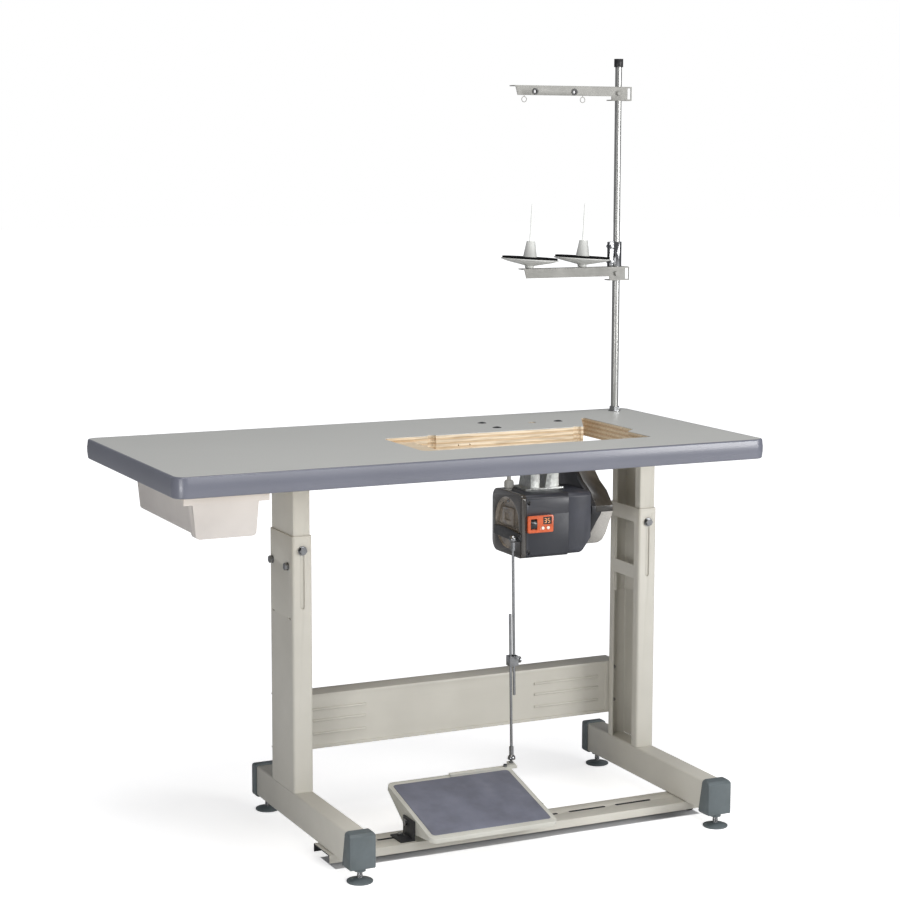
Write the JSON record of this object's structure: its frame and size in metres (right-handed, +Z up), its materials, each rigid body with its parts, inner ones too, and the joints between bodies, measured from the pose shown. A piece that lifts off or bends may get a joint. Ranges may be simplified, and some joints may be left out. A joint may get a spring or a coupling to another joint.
{
  "type": "industrial sewing machine table",
  "caption": "Height-adjustable industrial sewing-machine table with machine cut-out, servo motor, treadle and pitman rod, drawer and thread stand.",
  "frame": {"origin": "on the floor under the centre of the table top", "axes": "+Z up, +X along the table to the operator's right, +Y away from the operator (the drawer slides out toward -Y)"},
  "size_m": [1.2, 0.5765, 1.524],
  "materials": {
    "frame_paint": "satin beige-grey powder coat",
    "light_paint": "satin off-white powder coat",
    "motor_paint": "fine-texture dark grey paint",
    "motor_cover": "fine-texture grey paint",
    "motor_cast": "painted casting",
    "end_cap_plastic": "matt black plastic",
    "zinc": "zinc-plated",
    "galvanised": "galvanised",
    "pole_steel": "bright plated tube",
    "pulley_iron": "turned",
    "copper": "lacquered winding",
    "plywood": "birch plywood, sanded",
    "laminate": "matt decorative laminate",
    "moulding_plastic": "matt extruded moulding",
    "drawer_plastic": "matt moulded plastic",
    "dark_plastic": "matt moulded plastic",
    "mat_rubber": "smooth moulded rubber",
    "guard_black": "matt black plastic",
    "guard_beige": "matt beige plastic",
    "guard_grey": "matt light grey plastic",
    "panel_orange": "satin membrane panel",
    "switch_black": "gloss black plastic",
    "button_cream": "satin plastic",
    "foam": "black felt-faced foam",
    "dish_plastic": "light grey moulded plastic",
    "pin_plastic": "translucent white plastic",
    "arm_steel": "satin warm-grey sheet steel",
    "black_steel": "black oxide steel",
    "knob_grey": "ribbed light grey plastic",
    "black_plastic": "black plastic"
  },
  "bodies": {
    "base": {"left_lower_column": "frame_paint", "right_lower_column": "frame_paint", "left_foot_beam": "frame_paint", "right_foot_beam": "frame_paint", "foot_end_caps": "dark_plastic", "stretcher": "frame_paint", "crossbar": "frame_paint", "frame_bolts": "zinc", "treadle_brackets": "black_steel", "treadle_pivots": "zinc"},
    "table_top": {"table_board": "plywood", "table_laminate": "laminate", "edge_moulding": "moulding_plastic", "drawer_rails": "light_paint", "upper_columns": "frame_paint", "table_screws": "zinc", "height_bolts": "zinc", "motor_bracket": "galvanised", "motor_mount_bolts": "switch_black", "motor_shell": "motor_paint", "motor_end_cap": "end_cap_plastic", "motor_top_cover": "motor_cover", "motor_end_bell": "motor_cast", "stator": "copper", "motor_bearings": "zinc", "guard_backplate": "guard_black", "guard_upper": "guard_beige", "guard_lower": "guard_grey", "tension_knob": "knob_grey", "control_panel": "panel_orange", "pole_lower": "pole_steel", "pole_coupling": "zinc", "pole_base_nut": "zinc"},
    "drawer": {"drawer_tub": "drawer_plastic"},
    "rotor": {"rotor_shaft": "zinc", "motor_pulley": "pulley_iron"},
    "power_rocker": {"rocker_switch": "switch_black"},
    "speed_up": {"speed_up_button": "button_cream"},
    "speed_down": {"speed_down_button": "button_cream"},
    "speed_lever": {"motor_lever": "black_steel"},
    "upper_pitman": {"upper_rod": "zinc"},
    "treadle": {"treadle_frame": "light_paint", "treadle_mat": "mat_rubber", "lever_bar": "light_paint", "ball_stud": "zinc"},
    "lower_pitman": {"lower_rod": "zinc", "rod_clamp": "zinc", "clamp_screw": "zinc"},
    "front_left_levelling_foot": {"front_left_foot": "dark_plastic"},
    "front_right_levelling_foot": {"front_right_foot": "dark_plastic"},
    "back_left_levelling_foot": {"back_left_foot": "dark_plastic"},
    "back_right_levelling_foot": {"back_right_foot": "dark_plastic"},
    "spool_carrier": {"spool_arm": "arm_steel", "spool_dishes": "dish_plastic", "spool_foams": "foam", "spool_pins": "pin_plastic"},
    "thread_mast": {"pole_upper": "pole_steel", "pole_cap": "black_plastic"},
    "thread_guide": {"guide_arm": "arm_steel", "guide_grommets": "black_plastic"}
  },
  "joints": [
    {"name": "table_height", "type": "slide", "parent": "base", "child": "table_top", "axis": [0, 0, 1], "range_m": [-0.1, 0]},
    {"name": "drawer_slide", "type": "slide", "parent": "table_top", "child": "drawer", "axis": [0, -1, 0], "range_m": [0, 0.24]},
    {"name": "rotor_spin", "type": "hinge", "parent": "table_top", "child": "rotor", "pos_m": [0.38, 0.052, 0.592], "axis": [1, 0, 0], "continuous": true},
    {"name": "power_rocker_tilt", "type": "hinge", "parent": "table_top", "child": "power_rocker", "pos_m": [0.2265, -0.0175, 0.597], "axis": [1, 0, 0], "range_deg": [-5, 5]},
    {"name": "speed_up_press", "type": "slide", "parent": "table_top", "child": "speed_up", "axis": [0, 1, 0], "range_m": [0, 0.0008], "stiffness_N_per_m": 500},
    {"name": "speed_down_press", "type": "slide", "parent": "table_top", "child": "speed_down", "axis": [0, 1, 0], "range_m": [0, 0.0008], "stiffness_N_per_m": 500},
    {"name": "treadle_pivot", "type": "hinge", "parent": "base", "child": "treadle", "pos_m": [0.0475, -0.107, 0.057], "axis": [1, 0, 0], "range_deg": [-5, 8]},
    {"name": "lower_pitman_joint", "type": "hinge", "parent": "treadle", "child": "lower_pitman", "pos_m": [0.189, 0, 0.12], "axis": [1, 0, 0], "range_deg": [-10, 7]},
    {"name": "speed_lever_pivot", "type": "hinge", "parent": "table_top", "child": "speed_lever", "pos_m": [0.2, 0.056, 0.572], "axis": [1, 0, 0], "range_deg": [-16, 10]},
    {"name": "upper_pitman_joint", "type": "hinge", "parent": "speed_lever", "child": "upper_pitman", "pos_m": [0.189, 0, 0.568], "axis": [1, 0, 0], "range_deg": [-10, 15]},
    {"name": "front_left_screw", "type": "slide", "parent": "base", "child": "front_left_levelling_foot", "axis": [0, 0, 1], "range_m": [-0.008, 0.006]},
    {"name": "front_right_screw", "type": "slide", "parent": "base", "child": "front_right_levelling_foot", "axis": [0, 0, 1], "range_m": [-0.008, 0.006]},
    {"name": "back_left_screw", "type": "slide", "parent": "base", "child": "back_left_levelling_foot", "axis": [0, 0, 1], "range_m": [-0.008, 0.006]},
    {"name": "back_right_screw", "type": "slide", "parent": "base", "child": "back_right_levelling_foot", "axis": [0, 0, 1], "range_m": [-0.008, 0.006]},
    {"name": "spool_carrier_swivel", "type": "hinge", "parent": "table_top", "child": "spool_carrier", "pos_m": [0.552, 0.236, 1.075], "axis": [0, 0, 1], "range_deg": [-60, 60]},
    {"name": "thread_mast_slide", "type": "slide", "parent": "table_top", "child": "thread_mast", "axis": [0, 0, 1], "range_m": [-0.05, 0.04]},
    {"name": "thread_guide_swivel", "type": "hinge", "parent": "thread_mast", "child": "thread_guide", "pos_m": [0.552, 0.236, 1.45], "axis": [0, 0, 1], "range_deg": [-60, 60]}
  ],
  "couplings": [
    {"joint": "lower_pitman_joint", "follows": "treadle_pivot", "ratio": -1.141},
    {"joint": "speed_lever_pivot", "follows": "treadle_pivot", "ratio": -1.911},
    {"joint": "upper_pitman_joint", "follows": "treadle_pivot", "ratio": 1.77}
  ]
}
